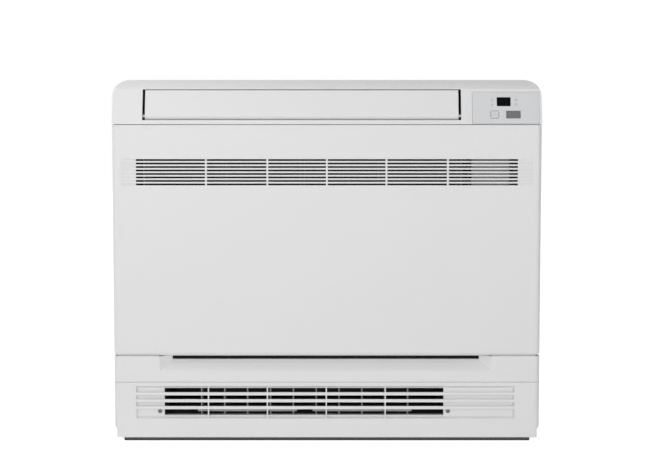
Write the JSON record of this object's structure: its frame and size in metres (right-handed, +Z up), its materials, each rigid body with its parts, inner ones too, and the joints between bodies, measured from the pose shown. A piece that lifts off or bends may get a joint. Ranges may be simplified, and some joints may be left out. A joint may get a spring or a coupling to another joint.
{
  "type": "floor console air conditioner",
  "caption": "Low white floor console air conditioner: tilting slotted front panel, upper flap, lower grille with swivelling vanes, and a turbo fan behind an upright coil.",
  "frame": {"origin": "middle of the cabinet's footprint, on the floor", "axes": "+X to the right seen from the front, the front faces -Y and the wall side +Y, +Z up"},
  "size_m": [0.706, 0.215, 0.594],
  "materials": {
    "white_plastic": "satin",
    "panel_grey_plastic": "satin",
    "black_plastic": "matt",
    "vane_plastic": "matt",
    "bush_plastic": "matt",
    "fan_plastic": "matt",
    "filter_plastic": "matt",
    "filter_net": "woven",
    "smoked_window": "gloss",
    "grey_window": "gloss",
    "pale_cover": "matt",
    "circuit_board": "satin",
    "fin_aluminium": "bare",
    "sheet_steel": "galvanised",
    "copper": "bare copper",
    "brass": "turned",
    "screw_steel": "zinc plated",
    "motor_casing": "die cast"
  },
  "bodies": {
    "cabinet": {"rear_case": "white_plastic", "front_frame": "white_plastic", "panel_hinge_brackets": "white_plastic", "intake_sill": "white_plastic", "lower_cover": "white_plastic", "top_case": "white_plastic", "control_panel": "panel_grey_plastic", "base_plate": "black_plastic", "lower_duct": "black_plastic", "upper_duct": "black_plastic", "flap_motor": "black_plastic", "shutter_motor": "black_plastic", "fan_housing": "black_plastic", "bell_mouth": "black_plastic", "drain_pan": "black_plastic", "lower_cover_screws": "screw_steel", "flap_bushes": "bush_plastic", "display_window": "smoked_window", "receiver_window": "grey_window", "display_board": "circuit_board", "control_board": "circuit_board", "terminal_block": "bush_plastic", "filter_frame": "filter_plastic", "filter_mesh": "filter_net", "coil_fins": "fin_aluminium", "coil_end_plates": "sheet_steel", "coil_bends": "copper", "refrigerant_pipes": "copper", "flare_nuts": "brass", "motor_can": "motor_casing", "motor_bearings": "screw_steel", "electrical_box": "sheet_steel", "electrical_box_cover": "pale_cover"},
    "front_panel": {"front_panel": "white_plastic"},
    "latch_left": {"panel_latch_left": "white_plastic"},
    "latch_right": {"panel_latch_right": "white_plastic"},
    "flap": {"flap": "white_plastic"},
    "button": {"on_off_button": "panel_grey_plastic"},
    "fan": {"fan_wheel": "fan_plastic", "motor_shaft": "screw_steel", "fan_nut": "screw_steel"},
    "shutter": {"shutter": "black_plastic"},
    "lower_left_vane_1": {"lower_left_vane_1": "vane_plastic"},
    "lower_left_vane_2": {"lower_left_vane_2": "vane_plastic"},
    "lower_left_vane_3": {"lower_left_vane_3": "vane_plastic"},
    "lower_left_vane_4": {"lower_left_vane_4": "vane_plastic"},
    "lower_left_vane_5": {"lower_left_vane_5": "vane_plastic"},
    "lower_left_link_bar": {"lower_left_link_bar": "vane_plastic"},
    "lower_right_vane_1": {"lower_right_vane_1": "vane_plastic"},
    "lower_right_vane_2": {"lower_right_vane_2": "vane_plastic"},
    "lower_right_vane_3": {"lower_right_vane_3": "vane_plastic"},
    "lower_right_vane_4": {"lower_right_vane_4": "vane_plastic"},
    "lower_right_vane_5": {"lower_right_vane_5": "vane_plastic"},
    "lower_right_link_bar": {"lower_right_link_bar": "vane_plastic"},
    "upper_vane_1": {"upper_vane_1": "vane_plastic"},
    "upper_vane_2": {"upper_vane_2": "vane_plastic"},
    "upper_vane_3": {"upper_vane_3": "vane_plastic"},
    "upper_vane_4": {"upper_vane_4": "vane_plastic"},
    "upper_vane_5": {"upper_vane_5": "vane_plastic"},
    "upper_link_bar": {"upper_link_bar": "vane_plastic"}
  },
  "joints": [
    {"name": "front_panel_tilt", "type": "hinge", "parent": "cabinet", "child": "front_panel", "pos_m": [0, -0.101, 0.1475], "axis": [1, 0, 0], "range_deg": [0, 30]},
    {"name": "latch_left_slide", "type": "slide", "parent": "cabinet", "child": "latch_left", "axis": [0, 0, -1], "range_m": [0, 0.006]},
    {"name": "latch_right_slide", "type": "slide", "parent": "cabinet", "child": "latch_right", "axis": [0, 0, -1], "range_m": [0, 0.006]},
    {"name": "flap_hinge", "type": "hinge", "parent": "cabinet", "child": "flap", "pos_m": [-0.041, -0.09545, 0.5336], "axis": [1, 0, 0], "range_deg": [0, 75]},
    {"name": "button_press", "type": "slide", "parent": "cabinet", "child": "button", "axis": [0, 0.9734, -0.229], "range_m": [0, 0.0012], "stiffness_N_per_m": 900},
    {"name": "fan_spin", "type": "hinge", "parent": "cabinet", "child": "fan", "pos_m": [-0.04, 0.015, 0.315], "axis": [0, 1, 0], "continuous": true},
    {"name": "shutter_hinge", "type": "hinge", "parent": "cabinet", "child": "shutter", "pos_m": [-0.0378, -0.045, 0.044], "axis": [1, 0, 0], "range_deg": [0, 85]},
    {"name": "lower_left_vane_1_swing", "type": "hinge", "parent": "cabinet", "child": "lower_left_vane_1", "pos_m": [-0.207, -0.08, 0.065], "axis": [0, 0, 1], "range_deg": [-30, 30]},
    {"name": "lower_left_vane_2_swing", "type": "hinge", "parent": "cabinet", "child": "lower_left_vane_2", "pos_m": [-0.16915, -0.08, 0.065], "axis": [0, 0, 1], "range_deg": [-30, 30]},
    {"name": "lower_left_vane_3_swing", "type": "hinge", "parent": "cabinet", "child": "lower_left_vane_3", "pos_m": [-0.1313, -0.08, 0.065], "axis": [0, 0, 1], "range_deg": [-30, 30]},
    {"name": "lower_left_vane_4_swing", "type": "hinge", "parent": "cabinet", "child": "lower_left_vane_4", "pos_m": [-0.09345, -0.08, 0.065], "axis": [0, 0, 1], "range_deg": [-30, 30]},
    {"name": "lower_left_vane_5_swing", "type": "hinge", "parent": "cabinet", "child": "lower_left_vane_5", "pos_m": [-0.0556, -0.08, 0.065], "axis": [0, 0, 1], "range_deg": [-30, 30]},
    {"name": "lower_left_link_pivot", "type": "hinge", "parent": "lower_left_vane_3", "child": "lower_left_link_bar", "pos_m": [-0.1313, -0.0932, 0.065], "axis": [0, 0, 1], "range_deg": [-30, 30]},
    {"name": "lower_right_vane_1_swing", "type": "hinge", "parent": "cabinet", "child": "lower_right_vane_1", "pos_m": [-0.01775, -0.08, 0.065], "axis": [0, 0, 1], "range_deg": [-30, 30]},
    {"name": "lower_right_vane_2_swing", "type": "hinge", "parent": "cabinet", "child": "lower_right_vane_2", "pos_m": [0.0201, -0.08, 0.065], "axis": [0, 0, 1], "range_deg": [-30, 30]},
    {"name": "lower_right_vane_3_swing", "type": "hinge", "parent": "cabinet", "child": "lower_right_vane_3", "pos_m": [0.05795, -0.08, 0.065], "axis": [0, 0, 1], "range_deg": [-30, 30]},
    {"name": "lower_right_vane_4_swing", "type": "hinge", "parent": "cabinet", "child": "lower_right_vane_4", "pos_m": [0.0958, -0.08, 0.065], "axis": [0, 0, 1], "range_deg": [-30, 30]},
    {"name": "lower_right_vane_5_swing", "type": "hinge", "parent": "cabinet", "child": "lower_right_vane_5", "pos_m": [0.13365, -0.08, 0.065], "axis": [0, 0, 1], "range_deg": [-30, 30]},
    {"name": "lower_right_link_pivot", "type": "hinge", "parent": "lower_right_vane_3", "child": "lower_right_link_bar", "pos_m": [0.05795, -0.0932, 0.065], "axis": [0, 0, 1], "range_deg": [-30, 30]},
    {"name": "upper_vane_1_swing", "type": "hinge", "parent": "cabinet", "child": "upper_vane_1", "pos_m": [-0.241, -0.063, 0.553], "axis": [0, 0, 1], "range_deg": [-30, 30]},
    {"name": "upper_vane_2_swing", "type": "hinge", "parent": "cabinet", "child": "upper_vane_2", "pos_m": [-0.141, -0.063, 0.553], "axis": [0, 0, 1], "range_deg": [-30, 30]},
    {"name": "upper_vane_3_swing", "type": "hinge", "parent": "cabinet", "child": "upper_vane_3", "pos_m": [-0.041, -0.063, 0.553], "axis": [0, 0, 1], "range_deg": [-30, 30]},
    {"name": "upper_vane_4_swing", "type": "hinge", "parent": "cabinet", "child": "upper_vane_4", "pos_m": [0.059, -0.063, 0.553], "axis": [0, 0, 1], "range_deg": [-30, 30]},
    {"name": "upper_vane_5_swing", "type": "hinge", "parent": "cabinet", "child": "upper_vane_5", "pos_m": [0.159, -0.063, 0.553], "axis": [0, 0, 1], "range_deg": [-30, 30]},
    {"name": "upper_link_pivot", "type": "hinge", "parent": "upper_vane_3", "child": "upper_link_bar", "pos_m": [-0.041, -0.076, 0.553], "axis": [0, 0, 1], "range_deg": [-30, 30]}
  ],
  "couplings": [
    {"joint": "lower_left_vane_1_swing", "follows": "lower_left_vane_3_swing", "ratio": 1},
    {"joint": "lower_left_vane_2_swing", "follows": "lower_left_vane_3_swing", "ratio": 1},
    {"joint": "lower_left_vane_4_swing", "follows": "lower_left_vane_3_swing", "ratio": 1},
    {"joint": "lower_left_vane_5_swing", "follows": "lower_left_vane_3_swing", "ratio": 1},
    {"joint": "lower_left_link_pivot", "follows": "lower_left_vane_3_swing", "ratio": -1},
    {"joint": "lower_right_vane_1_swing", "follows": "lower_right_vane_3_swing", "ratio": 1},
    {"joint": "lower_right_vane_2_swing", "follows": "lower_right_vane_3_swing", "ratio": 1},
    {"joint": "lower_right_vane_4_swing", "follows": "lower_right_vane_3_swing", "ratio": 1},
    {"joint": "lower_right_vane_5_swing", "follows": "lower_right_vane_3_swing", "ratio": 1},
    {"joint": "lower_right_link_pivot", "follows": "lower_right_vane_3_swing", "ratio": -1},
    {"joint": "upper_vane_1_swing", "follows": "upper_vane_3_swing", "ratio": 1},
    {"joint": "upper_vane_2_swing", "follows": "upper_vane_3_swing", "ratio": 1},
    {"joint": "upper_vane_4_swing", "follows": "upper_vane_3_swing", "ratio": 1},
    {"joint": "upper_vane_5_swing", "follows": "upper_vane_3_swing", "ratio": 1},
    {"joint": "upper_link_pivot", "follows": "upper_vane_3_swing", "ratio": -1}
  ]
}
